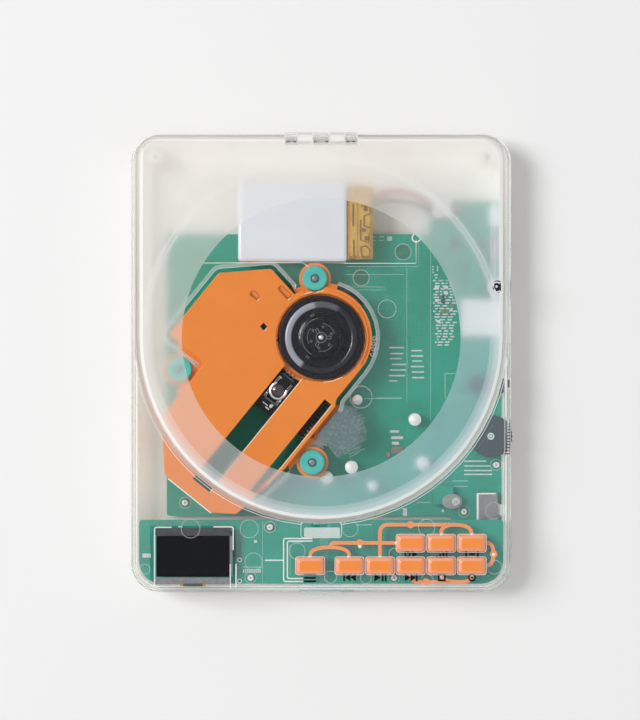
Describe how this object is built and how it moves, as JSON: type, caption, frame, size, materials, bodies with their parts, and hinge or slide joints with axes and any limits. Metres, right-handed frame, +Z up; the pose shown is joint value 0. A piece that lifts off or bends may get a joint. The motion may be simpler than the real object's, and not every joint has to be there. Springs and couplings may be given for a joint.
{
  "type": "portable cd player",
  "caption": "Portable disc player with a hinged clear lid, see-through deck, open drive with a geared sled, bevelled keys, side dial, slide switch and sockets.",
  "frame": {"origin": "middle of the footprint on the surface that the feet stand on", "axes": "+X to the right side with the sockets, +Y towards the hinge, +Z up through the lid"},
  "size_m": [0.1383, 0.1669, 0.029],
  "materials": {
    "clear_plastic": "polished clear and fine frosted",
    "cream_plastic": "fine satin",
    "orange_plastic": "satin",
    "dark_plastic": "satin",
    "white_plastic": "satin",
    "teal_rubber": "matte",
    "foot_rubber": "matte",
    "steel": "bright",
    "board_green": "solder mask",
    "lens": "coated",
    "screen": "polished",
    "battery_foil": "satin foil",
    "battery_tape": "smooth film",
    "lead_red": "smooth",
    "lead_black": "smooth"
  },
  "bodies": {
    "case": {"top_deck": "clear_plastic", "display_frame": "clear_plastic", "bottom_case": "cream_plastic", "drive_chassis": "orange_plastic", "key_arm_top": "orange_plastic", "key_arm_right": "orange_plastic", "key_arm_bottom": "orange_plastic", "headphone_jack": "dark_plastic", "battery_plug": "white_plastic", "lid_switch": "white_plastic", "damper_1": "teal_rubber", "damper_2": "teal_rubber", "damper_3": "teal_rubber", "foot_1": "foot_rubber", "foot_2": "foot_rubber", "foot_3": "foot_rubber", "foot_4": "foot_rubber", "hinge_pin": "steel", "guide_rod_left": "steel", "guide_rod_right": "steel", "spindle_motor": "steel", "sled_motor": "steel", "usb_socket": "steel", "switch_can": "steel", "board_screw_1": "steel", "board_screw_2": "steel", "board_screw_3": "steel", "board_screw_4": "steel", "board_screw_5": "steel", "board_screw_6": "steel", "main_board": "board_green", "front_board": "board_green", "display_glass": "screen", "battery": "battery_foil", "battery_tape": "battery_tape", "battery_lead_red": "lead_red", "battery_lead_black": "lead_black"},
    "lid": {"lid": "clear_plastic"},
    "open_slider": {"open_slider": "clear_plastic"},
    "turntable": {"turntable": "dark_plastic", "spindle_shaft": "steel", "turntable_mat": "white_plastic"},
    "pickup": {"pickup_sled": "dark_plastic", "objective_lens": "lens", "sled_rack": "dark_plastic"},
    "sled_gear": {"sled_gear": "white_plastic"},
    "motor_pinion": {"motor_pinion": "white_plastic"},
    "volume_dial": {"volume_dial": "dark_plastic"},
    "switch_knob": {"switch_knob": "white_plastic"},
    "lid_plunger": {"lid_plunger": "dark_plastic"},
    "key_mode": {"key_mode": "orange_plastic"},
    "key_back": {"key_back": "orange_plastic"},
    "key_play": {"key_play": "orange_plastic"},
    "key_forward": {"key_forward": "orange_plastic"},
    "key_stop": {"key_stop": "orange_plastic"},
    "key_sound": {"key_sound": "orange_plastic"},
    "key_repeat": {"key_repeat": "orange_plastic"},
    "key_wireless": {"key_wireless": "orange_plastic"},
    "key_section": {"key_section": "orange_plastic"}
  },
  "joints": [
    {"name": "lid_hinge", "type": "hinge", "parent": "case", "child": "lid", "pos_m": [0, 0.08045, 0.026], "axis": [-1, 0, 0], "range_deg": [0, 85]},
    {"name": "open_slide", "type": "slide", "parent": "case", "child": "open_slider", "axis": [1, 0, 0], "range_m": [0, 0.004], "stiffness_N_per_m": 300, "springref_m": -0.001},
    {"name": "turntable_spin", "type": "hinge", "parent": "case", "child": "turntable", "pos_m": [0, 0.00895, 0.0225], "axis": [0, 0, 1], "continuous": true},
    {"name": "sled_slide", "type": "slide", "parent": "case", "child": "pickup", "axis": [-0.6307, -0.776, 0], "range_m": [0, 0.034]},
    {"name": "sled_gear_spin", "type": "hinge", "parent": "case", "child": "sled_gear", "pos_m": [-0.00223, -0.02725, 0.0112], "axis": [0, 0, 1], "continuous": true},
    {"name": "motor_pinion_spin", "type": "hinge", "parent": "case", "child": "motor_pinion", "pos_m": [0.00638, -0.02463, 0.011], "axis": [0, 0, 1], "continuous": true},
    {"name": "volume_turn", "type": "hinge", "parent": "case", "child": "volume_dial", "pos_m": [0.06185, -0.02695, 0.0107], "axis": [0, 0, 1], "range_deg": [-150, 150]},
    {"name": "switch_slide", "type": "slide", "parent": "case", "child": "switch_knob", "axis": [0, 1, 0], "range_m": [-0.002, 0.002]},
    {"name": "lid_plunger_press", "type": "slide", "parent": "case", "child": "lid_plunger", "axis": [0, 0, -1], "range_m": [0, 0.0008], "stiffness_N_per_m": 300, "springref_m": -0.0005},
    {"name": "key_mode_press", "type": "slide", "parent": "case", "child": "key_mode", "axis": [0, 0, -1], "range_m": [0, 0.0008], "stiffness_N_per_m": 800, "springref_m": -0.0004},
    {"name": "key_back_press", "type": "slide", "parent": "case", "child": "key_back", "axis": [0, 0, -1], "range_m": [0, 0.0008], "stiffness_N_per_m": 800, "springref_m": -0.0004},
    {"name": "key_play_press", "type": "slide", "parent": "case", "child": "key_play", "axis": [0, 0, -1], "range_m": [0, 0.0008], "stiffness_N_per_m": 800, "springref_m": -0.0004},
    {"name": "key_forward_press", "type": "slide", "parent": "case", "child": "key_forward", "axis": [0, 0, -1], "range_m": [0, 0.0008], "stiffness_N_per_m": 800, "springref_m": -0.0004},
    {"name": "key_stop_press", "type": "slide", "parent": "case", "child": "key_stop", "axis": [0, 0, -1], "range_m": [0, 0.0008], "stiffness_N_per_m": 800, "springref_m": -0.0004},
    {"name": "key_sound_press", "type": "slide", "parent": "case", "child": "key_sound", "axis": [0, 0, -1], "range_m": [0, 0.0008], "stiffness_N_per_m": 800, "springref_m": -0.0004},
    {"name": "key_repeat_press", "type": "slide", "parent": "case", "child": "key_repeat", "axis": [0, 0, -1], "range_m": [0, 0.0008], "stiffness_N_per_m": 800, "springref_m": -0.0004},
    {"name": "key_wireless_press", "type": "slide", "parent": "case", "child": "key_wireless", "axis": [0, 0, -1], "range_m": [0, 0.0008], "stiffness_N_per_m": 800, "springref_m": -0.0004},
    {"name": "key_section_press", "type": "slide", "parent": "case", "child": "key_section", "axis": [0, 0, -1], "range_m": [0, 0.0008], "stiffness_N_per_m": 800, "springref_m": -0.0004}
  ],
  "couplings": [
    {"joint": "sled_gear_spin", "follows": "sled_slide", "rad_per_m": 285.71},
    {"joint": "motor_pinion_spin", "follows": "sled_slide", "rad_per_m": -357.14}
  ]
}
